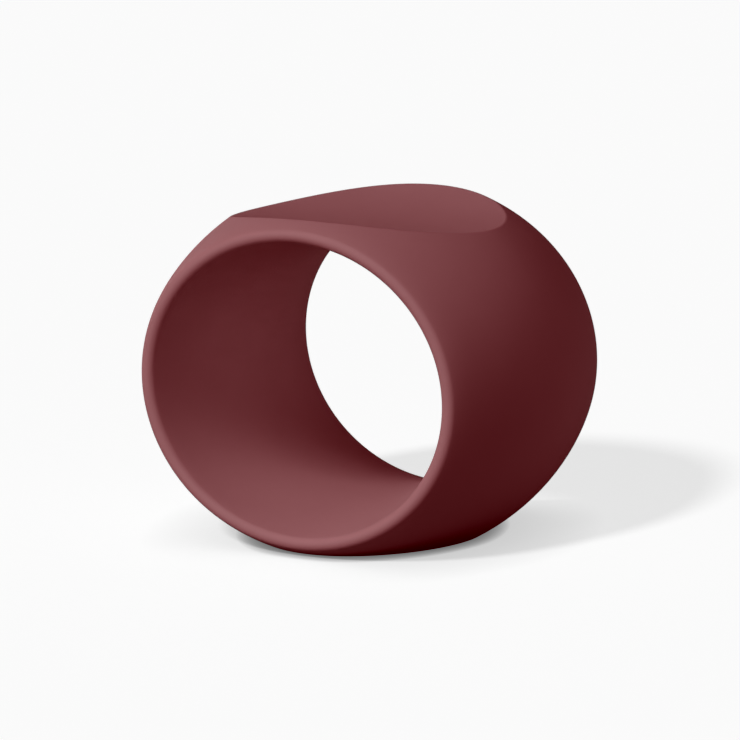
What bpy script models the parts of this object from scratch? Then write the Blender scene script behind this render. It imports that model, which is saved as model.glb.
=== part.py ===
"""Oval stacking ring for a toddler's toy: one moulded body with nothing fastened to it.

The bore runs along Y, the ring is widest along X and the origin is on the surface that the ring
stands on, under its middle. The ring is a turned section, stretched sideways into an oval. A shallow
round scoop across its top seats the next ring, and a flat cut across its bottom is its base.
"""

import math

import bmesh
import bpy
import numpy as np

# Driving dimensions, in metres. Heights are along Z, where the oval isn't stretched.
BORE_HEIGHT = 0.052      # inside, at the bore's waist
WALL = 0.014             # from the bore's waist to the crown
OVAL = 1.13              # every width along X over the same height along Z
RIM_SPAN = 0.0664        # between the two rims, were they left sharp
FLARE = 0.0052           # how far the bore opens between its waist and a sharp rim
RIM_ROUND = 0.00165      # radius of the rounding of the rims
BASE_WALL = 0.0082       # left between the bore's waist and the base
SCOOP_WALL = 0.0045      # left between the bore's waist and the scoop's floor
SCOOP_RADIUS = 0.094     # the scoop is part of a cylinder that lies along X

# Shape of the section: 2 is a parabola, and less than 2 falls away sooner.
CROWN_POWER = 1.82
FLARE_POWER = 2.0

# Fineness
TURN_STEPS = 80          # a multiple of four, so that the oval's ends are on its axes
WALL_STEPS = 8           # along half of a wall's length
RIM_STEPS = 4            # around a rim
SCOOP_STEPS = 180
ROUNDING_SAMPLES = 4001  # places along the wall where the rim's rounding is tried
CUTTER_MARGIN = 0.01     # how far a cutter stands proud of what it cuts

# Sizes that follow
WAIST = BORE_HEIGHT / 2
CROWN = WAIST + WALL
HALF_SPAN = RIM_SPAN / 2
AXIS_HEIGHT = WAIST + BASE_WALL
SCOOP_FLOOR = AXIS_HEIGHT + WAIST + SCOOP_WALL

SILICONE_RED = (0.310, 0.115, 0.123, 1.0)
SILICONE_ROUGHNESS = 0.62


def outer_wall(along):
    """Distance of the outside from the bore's axis, at a place along it."""
    return CROWN - (WALL - FLARE) * (along / HALF_SPAN) ** CROWN_POWER


def bore_wall(along):
    """Distance of the bore's wall from its axis, at a place along it."""
    return WAIST + FLARE * (along / HALF_SPAN) ** FLARE_POWER


def offset(along, wall, distance):
    """Moves a wall's points square to it, away from the axis where the distance is positive."""
    turn = np.arctan(np.gradient(wall(along), along))
    return along - distance * np.sin(turn), wall(along) + distance * np.cos(turn), turn


def rim_rounding():
    """Places where the outside and the bore meet the rim's rounding, and the rounding's points."""
    along = np.linspace(0, HALF_SPAN, ROUNDING_SAMPLES)
    under_outside, height, outside_turn = offset(along, outer_wall, -RIM_ROUND)
    over_bore, bore_height, bore_turn = offset(along, bore_wall, RIM_ROUND)
    fits = height > np.interp(under_outside, over_bore, bore_height)
    last = np.flatnonzero(fits)[-1]
    centre = under_outside[last]
    start = math.pi / 2 + outside_turn[last]
    stop = -math.pi / 2 + np.interp(centre, over_bore, bore_turn)
    angles = np.linspace(start, stop, RIM_STEPS + 1)
    arc = [(centre + RIM_ROUND * math.cos(angle), height[last] + RIM_ROUND * math.sin(angle))
           for angle in angles]
    return along[last], np.interp(centre, over_bore, along), arc


def half_section():
    """Half of the ring's section, from the crown round the rim to the waist, as (along, height)."""
    outside_end, bore_end, arc = rim_rounding()
    outside = np.linspace(0, outside_end, WALL_STEPS + 1)[:-1]
    inside = np.linspace(bore_end, 0, WALL_STEPS + 1)[1:]
    points = [(place, outer_wall(place)) for place in outside]
    points += arc
    points += [(place, bore_wall(place)) for place in inside]
    return points


def section_mesh():
    """The whole section as a closed outline, which runs down its outer side."""
    half = half_section()
    other_half = [(-along, height) for along, height in half[-2:0:-1]]
    outline = [(along, height) for along, height in half + other_half]
    outline.reverse()
    shape = bmesh.new()
    corners = [shape.verts.new((height, 0, along)) for along, height in outline]
    for corner, following in zip(corners, corners[1:] + corners[:1]):
        shape.edges.new((corner, following))
    mesh = bpy.data.meshes.new("ring_section")
    shape.to_mesh(mesh)
    shape.free()
    return mesh


def new_collection(name):
    collection = bpy.data.collections.new(name)
    bpy.context.scene.collection.children.link(collection)
    return collection


def silicone():
    material = bpy.data.materials.new("matte_silicone")
    material.use_nodes = True
    surface = material.node_tree.nodes["Principled BSDF"]
    surface.inputs["Base Color"].default_value = SILICONE_RED
    surface.inputs["Roughness"].default_value = SILICONE_ROUGHNESS
    surface.inputs["Metallic"].default_value = 0
    material.diffuse_color = SILICONE_RED
    return material


def add_cutter(name, shape, collection):
    """Makes a hidden object of a shape and leaves it in the cutters' collection."""
    mesh = bpy.data.meshes.new(name)
    shape.to_mesh(mesh)
    shape.free()
    cutter = bpy.data.objects.new(name, mesh)
    cutter.hide_render = True
    cutter.display_type = "WIRE"
    collection.objects.link(cutter)
    return cutter


def scoop_cutter(collection):
    """A cylinder along X, whose lowest line is the scoop's floor."""
    shape = bmesh.new()
    bmesh.ops.create_cone(shape, cap_ends=True, segments=SCOOP_STEPS, radius1=SCOOP_RADIUS,
                          radius2=SCOOP_RADIUS, depth=2 * (CROWN * OVAL + CUTTER_MARGIN))
    cutter = add_cutter("scoop_cutter", shape, collection)
    cutter.rotation_euler = (0, math.pi / 2, 0)
    cutter.location = (0, 0, SCOOP_FLOOR + SCOOP_RADIUS)
    return cutter


def base_cutter(collection):
    """A box whose top face is the surface that the ring stands on."""
    shape = bmesh.new()
    bmesh.ops.create_cube(shape, size=1)
    size = (2 * (CROWN * OVAL + CUTTER_MARGIN), RIM_SPAN + CUTTER_MARGIN, CROWN + CUTTER_MARGIN)
    bmesh.ops.scale(shape, vec=size, verts=shape.verts)
    cutter = add_cutter("base_cutter", shape, collection)
    cutter.location = (0, 0, -size[2] / 2)
    return cutter


def turn_section(ring):
    """Turns the section once around the bore's axis."""
    screw = ring.modifiers.new("turn", "SCREW")
    screw.axis = "Z"
    screw.angle = 2 * math.pi
    screw.steps = TURN_STEPS
    screw.render_steps = TURN_STEPS
    screw.use_merge_vertices = True
    screw.merge_threshold = 0.00001
    screw.use_smooth_shade = True


def cut(ring, cutter):
    boolean = ring.modifiers.new(cutter.name, "BOOLEAN")
    boolean.operation = "DIFFERENCE"
    boolean.solver = "EXACT"
    boolean.object = cutter


def build_ring(parts, cutters):
    """The moulded body: turned, stretched into an oval, scooped on top and cut flat below."""
    ring = bpy.data.objects.new("ring_body", section_mesh())
    parts.objects.link(ring)
    ring.data.materials.append(silicone())
    ring.scale = (OVAL, 1, 1)
    ring.rotation_euler = (math.pi / 2, 0, 0)
    ring.location = (0, 0, AXIS_HEIGHT)
    turn_section(ring)
    cut(ring, scoop_cutter(cutters))
    cut(ring, base_cutter(cutters))
    return ring


def main():
    for leftover in list(bpy.data.objects):
        bpy.data.objects.remove(leftover)
    parts = new_collection("stacking_ring")
    cutters = new_collection("cutters")
    build_ring(parts, cutters)


main()
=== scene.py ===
"""Looks of the oval stacking ring: a fine moulded skin, matte silicone, soft studio light and the camera."""

import math

import bmesh
import bpy
import numpy as np
from mathutils import Color, Euler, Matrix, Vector


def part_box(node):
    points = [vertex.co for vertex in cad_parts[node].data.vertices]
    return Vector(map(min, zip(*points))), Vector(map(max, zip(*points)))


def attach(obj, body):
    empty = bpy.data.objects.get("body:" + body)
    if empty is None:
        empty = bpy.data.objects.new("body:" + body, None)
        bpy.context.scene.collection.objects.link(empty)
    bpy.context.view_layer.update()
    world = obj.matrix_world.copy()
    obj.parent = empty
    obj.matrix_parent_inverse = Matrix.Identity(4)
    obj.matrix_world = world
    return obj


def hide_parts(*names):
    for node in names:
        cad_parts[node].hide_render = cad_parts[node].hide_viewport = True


# The CAD model's driving dimensions, in metres
BORE_HEIGHT = 0.052
WALL = 0.014
OVAL = 1.13
RIM_SPAN = 0.0664
FLARE = 0.0052
BASE_WALL = 0.0082
SCOOP_WALL = 0.0045
SCOOP_RADIUS = 0.094
CROWN_POWER = 1.82
FLARE_POWER = 2.0

# What the moulded skin adds: the edges of the scoop and the base are rounded a little, and the
# outside turns into the rims gradually. The CAD model's plain rim rounding is 1.65 mm.
RIM_ROUND = 0.0015
EASE_START = 0.024       # along the bore from its middle, where the outside starts to turn in
EASE_DEPTH = 0.00022     # how far it has turned in where the rim's rounding starts
EASE_LENGTH = 0.0052
CREASE_BLEND = 0.00022   # height over which a cut blends into the outside
CREASE_ROWS = (-0.00045, -0.0003, -0.00015, 0.0, 0.00015, 0.0003, 0.00045)  # beside a cut's edge

# Fineness of the skin
TURN_STEPS = 144         # around half of the ring
ALONG_STEPS = 56         # along the bore, on the ring's sides
CUT_ROWS = 16            # from the middle of a cut to its edge
CROWN_ROWS = 22          # from a cut's edge to the rims and the sides
RIM_STEPS = 12
BORE_STEPS = 44
ROUNDING_SAMPLES = 4001
BISECTIONS = 45
STRETCH_STEP = 1e-3      # share of a ray over which its stretch is measured
MERGE = 1e-6

# Sizes that follow
WAIST = BORE_HEIGHT / 2
CROWN = WAIST + WALL
HALF_SPAN = RIM_SPAN / 2
AXIS_HEIGHT = WAIST + BASE_WALL

# Silicone, in linear light. Each unevenness has the size of its features and a number of finer layers.
RED = (0.46, 0.176, 0.188)
BOUNCE = 0.55            # share of light that it passes on to other surfaces and to itself, untinted
MOTTLE = 0.03            # how much lighter or darker the colour is in places
MOTTLE_SIZE = 0.010
MOTTLE_LAYERS = 3
ROUGHNESS_RANGE = (0.58, 0.66)
GRAIN_SIZE = 0.00035
GRAIN_LAYERS = 2
GRAIN_DEPTH = 0.000004
WAVE_SIZE = 0.016        # the broad, shallow waves of a moulded wall
WAVE_LAYERS = 1
WAVE_DEPTH = 0.00002
GLOSS = 0.15             # specular level

# Studio light: suns as wide as large soft boxes. Azimuth 0 is the near rim's side and 90 is +X.
# Only the suns whose names start with KEY show as gloss on the ring.
KEY = "key"
BOX_WIDTH = math.radians(28)
RING_SUNS = (
    # name, azimuth, elevation, strength
    ("key", 333, 33, 1.50),
    ("key_top", 345, 47, 0.52),
    ("back_left", 240, 3, 1.30),
    ("back_right", 150, 3, 0.80),
    ("side_right", 60, 3, 0.20),
    ("front_right", 15, 3, 0.30),
)
FLOOR_SUN = ("floor_key", 352, 43, 2.07)
FLOOR_SUN_WIDTH = math.radians(8)
AMBIENT = 0.01           # light that the ring gets from the backdrop
BACKDROP = 0.956         # how bright the camera sees it

# Floor
FLOOR_RADIUS = 6.0
FLOOR_SEGMENTS = 128
FLOOR_ALBEDO = 0.2       # as the ring sees it
FLOOR_SHADE = 0.41       # as the camera sees it: the part that the floor's sun lights
FLOOR_GLOW = 0.77        # and the part that is always there
PAINTED_CONTACT_SHADOW = ((0.0024, 0.25), (0.015, 0.72))   # painted contact shadow: how near the ring the floor's glow is darkened, and the glow left
PAINTED_SHADOW_SAMPLES = 16

# Shown tones
LIT_TONE = 0.592         # red of the best lit skin; below it, green and blue fall by as much as red
TOE_STEPS = 24
GREEN_AND_BLUE = (1, 2)  # their places in a colour and in the curves

# Camera
CAMERA_AZIMUTH = math.radians(31.35)
CAMERA_ELEVATION = math.radians(11.0)
CAMERA_ROLL = math.radians(-0.95)
CAMERA_DISTANCE = 0.895
CAMERA_AIM = (-0.0002, 0.0, -0.0009)   # from the middle of the ring
FRAME_WIDTH = 0.1523                   # what the frame shows at the camera's distance
SENSOR_WIDTH = 36.0


def outer_wall(along):
    """Distance of the outside from the bore's axis, at a place along it."""
    reach = CROWN - (WALL - FLARE) * (np.abs(along) / HALF_SPAN) ** CROWN_POWER
    return reach - EASE_DEPTH * (np.maximum(np.abs(along) - EASE_START, 0) / EASE_LENGTH) ** 3


def bore_wall(along):
    """Distance of the bore's wall from its axis, at a place along it."""
    return WAIST + FLARE * (np.abs(along) / HALF_SPAN) ** FLARE_POWER


def scoop_height(along):
    """Height of the scoop's floor above the bore's axis."""
    return WAIST + SCOOP_WALL + SCOOP_RADIUS - np.sqrt(SCOOP_RADIUS ** 2 - along ** 2)


def base_depth(along):
    """Depth of the flat base below the bore's axis."""
    return np.full_like(along, AXIS_HEIGHT)


def smooth_min(first, second, blend):
    """The lesser of two heights, with the corner between them rounded off."""
    near = np.maximum(blend - np.abs(first - second), 0) / blend
    return np.minimum(first, second) - near ** 2 * blend / 4


def offset(along, wall, distance):
    """A wall's points moved square to it, away from the axis where the distance is positive."""
    turn = np.arctan(np.gradient(wall(along), along))
    return along - distance * np.sin(turn), wall(along) + distance * np.cos(turn), turn


def rim_rounding():
    """Where the outside and the bore meet the rim's rounding, and the rounding's (along, height)."""
    along = np.linspace(0, HALF_SPAN, ROUNDING_SAMPLES)
    under_outside, height, outside_turn = offset(along, outer_wall, -RIM_ROUND)
    over_bore, bore_height, bore_turn = offset(along, bore_wall, RIM_ROUND)
    fits = height > np.interp(under_outside, over_bore, bore_height)
    last = np.flatnonzero(fits)[-1]
    centre = under_outside[last]
    start = math.pi / 2 + outside_turn[last]
    stop = -math.pi / 2 + np.interp(centre, over_bore, bore_turn)
    angles = np.linspace(start, stop, RIM_STEPS + 1)
    arc = np.column_stack((centre + RIM_ROUND * np.cos(angles), height[last] + RIM_ROUND * np.sin(angles)))
    return along[last], np.interp(centre, over_bore, along), arc


def patch_edge(outside_end):
    """Turn and place along the bore of each point once round the edge of half of the outside."""
    turns = np.linspace(0, math.pi, TURN_STEPS + 1)[:-1]
    places = np.linspace(-outside_end, outside_end, ALONG_STEPS + 1)[:-1]
    turn = np.concatenate((turns, np.full(ALONG_STEPS, math.pi), math.pi - turns, np.zeros(ALONG_STEPS)))
    along = np.concatenate((np.full(TURN_STEPS, -outside_end), places,
                            np.full(TURN_STEPS, outside_end), -places))
    return turn, along


def skin_points(turn, along, cut, side):
    """Points of the outside above (side 1) or below (side -1) the bore's axis, with the cut made."""
    reach = outer_wall(along)
    height = smooth_min(reach * np.sin(turn), cut(along), CREASE_BLEND)
    return np.stack((OVAL * reach * np.cos(turn), along, AXIS_HEIGHT + side * height), axis=-1)


def cut_edge(turn, along, cut):
    """How far out from the patch's middle the cut's edge is, as a share of each ray."""
    inner = np.zeros_like(turn)
    outer = np.ones_like(turn)
    for _ in range(BISECTIONS):
        middle = (inner + outer) / 2
        ray_turn = math.pi / 2 + middle * (turn - math.pi / 2)
        stands_proud = outer_wall(middle * along) * np.sin(ray_turn) > cut(middle * along)
        inner = np.where(stands_proud, middle, inner)
        outer = np.where(stands_proud, outer, middle)
    return (inner + outer) / 2


def patch_rows(turn, along, cut):
    """Each row's share of the rays: out to the cut's edge, across it, and on to the patch's edge."""
    edge = cut_edge(turn, along, cut)

    def uncut(share):
        ray_turn = math.pi / 2 + share * (turn - math.pi / 2)
        reach = outer_wall(share * along)
        return np.stack((OVAL * reach * np.cos(ray_turn), share * along, reach * np.sin(ray_turn)), axis=-1)

    either_side = uncut(edge + STRETCH_STEP) - uncut(edge - STRETCH_STEP)
    stretch = np.linalg.norm(either_side, axis=-1) / (2 * STRETCH_STEP)
    across = [edge + distance / stretch for distance in CREASE_ROWS]
    inside = [across[0] * row / CUT_ROWS for row in range(1, CUT_ROWS)]
    outside = [across[-1] + (1 - across[-1]) * row / CROWN_ROWS for row in range(1, CROWN_ROWS + 1)]
    return np.array(inside + across + outside)


def add_strips(shape, rows):
    """Faces between rows of points that each go once round."""
    for lower, upper in zip(rows, rows[1:]):
        for corner in range(len(lower)):
            following = (corner + 1) % len(lower)
            shape.faces.new((lower[corner], lower[following], upper[following], upper[corner]))


def add_patch(shape, outside_end, cut, side):
    """Half of the outside as rows of faces around the middle of its cut."""
    turn, along = patch_edge(outside_end)
    shares = patch_rows(turn, along, cut)
    points = skin_points(math.pi / 2 + shares * (turn - math.pi / 2), shares * along, cut, side)
    middle = skin_points(np.array([math.pi / 2]), np.array([0.0]), cut, side)[0]
    pole = shape.verts.new(middle)
    rows = [[shape.verts.new(point) for point in row] for row in points]
    count = len(turn)
    for corner in range(count):
        shape.faces.new((pole, rows[0][corner], rows[0][(corner + 1) % count]))
    add_strips(shape, rows)


def add_rims_and_bore(shape, bore_end, arc):
    """The near rim, the bore's wall and the far rim, as one band of faces."""
    bore_along = np.linspace(bore_end, -bore_end, BORE_STEPS + 1)[1:-1]
    bore = np.column_stack((bore_along, bore_wall(bore_along)))
    other_arc = arc[::-1] * (-1, 1)
    section = np.concatenate((arc, bore, other_arc))
    turns = np.linspace(0, 2 * math.pi, 2 * TURN_STEPS + 1)[:-1]
    rows = [[shape.verts.new((OVAL * height * math.cos(turn), along, AXIS_HEIGHT + height * math.sin(turn)))
             for turn in turns] for along, height in section]
    add_strips(shape, rows)


def build_skin():
    """The ring's whole surface as one closed, smooth mesh."""
    outside_end, bore_end, arc = rim_rounding()
    shape = bmesh.new()
    add_patch(shape, outside_end, scoop_height, 1)
    add_patch(shape, outside_end, base_depth, -1)
    add_rims_and_bore(shape, bore_end, arc)
    bmesh.ops.remove_doubles(shape, verts=shape.verts, dist=MERGE)
    bmesh.ops.recalc_face_normals(shape, faces=shape.faces)
    mesh = bpy.data.meshes.new("ring_skin")
    shape.to_mesh(mesh)
    shape.free()
    mesh.shade_smooth()
    ring = bpy.data.objects.new("ring_skin", mesh)
    bpy.context.scene.collection.objects.link(ring)
    return ring


def noise(nodes, links, place, size, layers):
    """A noise in the object's own space with features of a given size; gives its value."""
    texture = nodes.new("ShaderNodeTexNoise")
    texture.inputs["Scale"].default_value = 1 / size
    texture.inputs["Detail"].default_value = layers
    links.new(place.outputs["Object"], texture.inputs["Vector"])
    return texture.outputs["Fac"]


def bump(nodes, links, height, depth, under=None):
    """A bump of a given depth in metres, on top of another where there is one; gives its normal."""
    relief = nodes.new("ShaderNodeBump")
    relief.inputs["Distance"].default_value = depth
    links.new(height, relief.inputs["Height"])
    if under:
        links.new(under, relief.inputs["Normal"])
    return relief.outputs["Normal"]


def tint(nodes, links, mottle):
    """The red, a little lighter and darker in places; gives the colour."""
    mix = nodes.new("ShaderNodeMix")
    mix.data_type = "RGBA"
    mix.inputs["A"].default_value = [channel * (1 - MOTTLE) for channel in RED] + [1]
    mix.inputs["B"].default_value = [channel * (1 + MOTTLE) for channel in RED] + [1]
    links.new(mottle, mix.inputs["Factor"])
    return mix.outputs["Result"]


def neutral_bounce(nodes, links, colour):
    """The colour as seen, but neutral in the light that is passed on; gives the colour.

    Otherwise the bore, which is lit by its own walls, looks redder than the outside.
    """
    path = nodes.new("ShaderNodeLightPath")
    mix = nodes.new("ShaderNodeMix")
    mix.data_type = "RGBA"
    mix.inputs["B"].default_value = (BOUNCE, BOUNCE, BOUNCE, 1)
    links.new(colour, mix.inputs["A"])
    links.new(path.outputs["Is Diffuse Ray"], mix.inputs["Factor"])
    return mix.outputs["Result"]


def uneven_roughness(nodes, links, mottle):
    """Roughness that varies with the mottle; gives the value."""
    spread = nodes.new("ShaderNodeMapRange")
    spread.inputs["To Min"].default_value, spread.inputs["To Max"].default_value = ROUGHNESS_RANGE
    links.new(mottle, spread.inputs["Value"])
    return spread.outputs["Result"]


def silicone():
    """Matte dark red silicone: a fine moulded grain over shallow waves, and slightly uneven colour."""
    material = bpy.data.materials.new("matte_silicone")
    material.use_nodes = True
    nodes = material.node_tree.nodes
    links = material.node_tree.links
    surface = nodes["Principled BSDF"]
    place = nodes.new("ShaderNodeTexCoord")

    mottle = noise(nodes, links, place, MOTTLE_SIZE, MOTTLE_LAYERS)
    colour = neutral_bounce(nodes, links, tint(nodes, links, mottle))
    links.new(colour, surface.inputs["Base Color"])
    links.new(uneven_roughness(nodes, links, mottle), surface.inputs["Roughness"])

    waves = bump(nodes, links, noise(nodes, links, place, WAVE_SIZE, WAVE_LAYERS), WAVE_DEPTH)
    grain = bump(nodes, links, noise(nodes, links, place, GRAIN_SIZE, GRAIN_LAYERS), GRAIN_DEPTH, waves)
    links.new(grain, surface.inputs["Normal"])
    surface.inputs["Specular IOR Level"].default_value = GLOSS
    return material


def direction(azimuth, elevation):
    """Unit vector to a place in the sky, with azimuth 0 on the near rim's side and 90 on +X."""
    level = math.cos(elevation)
    return Vector((math.sin(azimuth) * level, -math.cos(azimuth) * level, math.sin(elevation)))


def add_sun(name, azimuth, elevation, strength, width, lit):
    """A soft light that falls on one object only."""
    data = bpy.data.lights.new(name, "SUN")
    data.energy = strength
    data.angle = width
    sun = bpy.data.objects.new(name, data)
    towards = direction(math.radians(azimuth), math.radians(elevation))
    sun.rotation_euler = towards.to_track_quat("Z", "Y").to_euler()
    bpy.context.scene.collection.objects.link(sun)
    sun.light_linking.receiver_collection = lit
    sun.visible_glossy = name.startswith(KEY)


def add_suns(ring, floor):
    """Soft boxes for the ring, and one sun whose shadow the floor shows."""
    ring_only = bpy.data.collections.new("ring_light")
    ring_only.objects.link(ring)
    floor_only = bpy.data.collections.new("floor_light")
    floor_only.objects.link(floor)
    for sun in RING_SUNS:
        add_sun(*sun, BOX_WIDTH, ring_only)
    add_sun(*FLOOR_SUN, FLOOR_SUN_WIDTH, floor_only)


def add_camera(middle):
    """The camera, at the azimuth where the near rim is on the left."""
    away = direction(CAMERA_AZIMUTH, CAMERA_ELEVATION)
    data = bpy.data.cameras.new("camera")
    data.sensor_width = SENSOR_WIDTH
    data.lens = SENSOR_WIDTH * CAMERA_DISTANCE / FRAME_WIDTH
    camera = bpy.data.objects.new("camera", data)
    camera.location = middle + Vector(CAMERA_AIM) + away * CAMERA_DISTANCE
    facing = away.to_track_quat("Z", "Y").to_matrix().to_4x4()
    roll = Euler((0, 0, CAMERA_ROLL)).to_matrix().to_4x4()
    camera.rotation_euler = (facing @ roll).to_euler()
    bpy.context.scene.collection.objects.link(camera)
    bpy.context.scene.camera = camera


def add_floor():
    """A plain pale floor. The camera sees it almost white, and the ring gets little light back from it."""
    mesh = bpy.data.meshes.new("floor")
    shape = bmesh.new()
    bmesh.ops.create_circle(shape, cap_ends=True, segments=FLOOR_SEGMENTS, radius=FLOOR_RADIUS)
    shape.to_mesh(mesh)
    shape.free()
    floor = bpy.data.objects.new("floor", mesh)
    bpy.context.scene.collection.objects.link(floor)
    floor.data.materials.append(floor_paper())
    return floor


def painted_contact_shadow(nodes, links):
    """Painted contact shadow: share of the floor's glow that is left close to the ring, darkened by ambient
    occlusion; gives the value.
    """
    product = nodes.new("ShaderNodeMath")
    product.operation = "MULTIPLY"
    for socket, (reach, least) in zip(product.inputs, PAINTED_CONTACT_SHADOW):
        # ambient occlusion darkens the floor's glow here: painted contact shadow
        gap = nodes.new("ShaderNodeAmbientOcclusion")
        gap.samples = PAINTED_SHADOW_SAMPLES
        gap.inputs["Distance"].default_value = reach
        left = nodes.new("ShaderNodeMapRange")
        left.inputs["To Min"].default_value = least
        links.new(gap.outputs["AO"], left.inputs["Value"])
        links.new(left.outputs["Result"], socket)
    return product.outputs["Value"]


def paper(nodes, albedo):
    """A plain, matt surface of one grey; gives the shader."""
    surface = nodes.new("ShaderNodeBsdfDiffuse")
    surface.inputs["Color"].default_value = (albedo, albedo, albedo, 1)
    return surface.outputs["BSDF"]


def floor_paper():
    """White paper that glows a little to the camera, with a painted contact shadow that darkens the glow in
    the narrow gap beside the ring's base.
    """
    material = bpy.data.materials.new("floor_paper")
    material.use_nodes = True
    nodes = material.node_tree.nodes
    links = material.node_tree.links
    nodes.clear()
    glow = nodes.new("ShaderNodeEmission")
    glow.inputs["Color"].default_value = (FLOOR_GLOW, FLOOR_GLOW, FLOOR_GLOW, 1)
    # the glow is darkened near the ring's base: a painted contact shadow
    links.new(painted_contact_shadow(nodes, links), glow.inputs["Strength"])
    seen = nodes.new("ShaderNodeAddShader")
    links.new(glow.outputs["Emission"], seen.inputs[0])
    links.new(paper(nodes, FLOOR_SHADE), seen.inputs[1])
    path = nodes.new("ShaderNodeLightPath")
    choice = nodes.new("ShaderNodeMixShader")
    links.new(path.outputs["Is Camera Ray"], choice.inputs["Fac"])
    links.new(paper(nodes, FLOOR_ALBEDO), choice.inputs[1])
    links.new(seen.outputs["Shader"], choice.inputs[2])
    output = nodes.new("ShaderNodeOutputMaterial")
    links.new(choice.outputs["Shader"], output.inputs["Surface"])
    return material


def add_world():
    """A backdrop that the camera sees as white and that gives the ring only a trace of light."""
    world = bpy.data.worlds.new("studio")
    bpy.context.scene.world = world
    world.use_nodes = True
    nodes = world.node_tree.nodes
    links = world.node_tree.links
    backdrop = nodes["Background"]
    backdrop.inputs["Color"].default_value = (1, 1, 1, 1)
    path = nodes.new("ShaderNodeLightPath")
    strength = nodes.new("ShaderNodeMapRange")
    strength.inputs["To Min"].default_value = AMBIENT
    strength.inputs["To Max"].default_value = BACKDROP
    links.new(path.outputs["Is Camera Ray"], strength.inputs["Value"])
    links.new(strength.outputs["Result"], backdrop.inputs["Strength"])


def linear_tone(shown):
    """Linear light of a shown tone."""
    return Color((shown, shown, shown)).from_srgb_to_scene_linear().r


def shown_tone(linear):
    """Shown tone of an amount of linear light."""
    return Color((linear, linear, linear)).from_scene_linear_to_srgb().r


def set_colours():
    """Plain colours, but in the silicone's darker tones green and blue fall by as much as red does."""
    view = bpy.context.scene.view_settings
    view.view_transform = "Standard"
    view.use_curve_mapping = True
    for channel in GREEN_AND_BLUE:
        share = RED[channel] / RED[0]
        lit = shown_tone(share * linear_tone(LIT_TONE))
        points = view.curve_mapping.curves[channel].points
        for step in range(1, TOE_STEPS + 1):
            red = LIT_TONE * step / TOE_STEPS
            fallen = max(lit - (LIT_TONE - red), 0)
            points.new(share * linear_tone(red), linear_tone(fallen)).handle_type = "VECTOR"
    view.curve_mapping.update()


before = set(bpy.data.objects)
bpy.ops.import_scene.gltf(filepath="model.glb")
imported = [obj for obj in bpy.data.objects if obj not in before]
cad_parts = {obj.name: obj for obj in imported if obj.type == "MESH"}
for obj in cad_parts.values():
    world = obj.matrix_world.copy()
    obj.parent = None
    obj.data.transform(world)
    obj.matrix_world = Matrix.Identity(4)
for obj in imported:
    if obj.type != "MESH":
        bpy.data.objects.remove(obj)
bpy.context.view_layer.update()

lowest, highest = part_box("ring_body")
ring = build_skin()
ring.data.materials.append(silicone())
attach(ring, "root")
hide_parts("ring_body")

floor = add_floor()
add_camera((lowest + highest) / 2)
add_suns(ring, floor)
add_world()
set_colours()
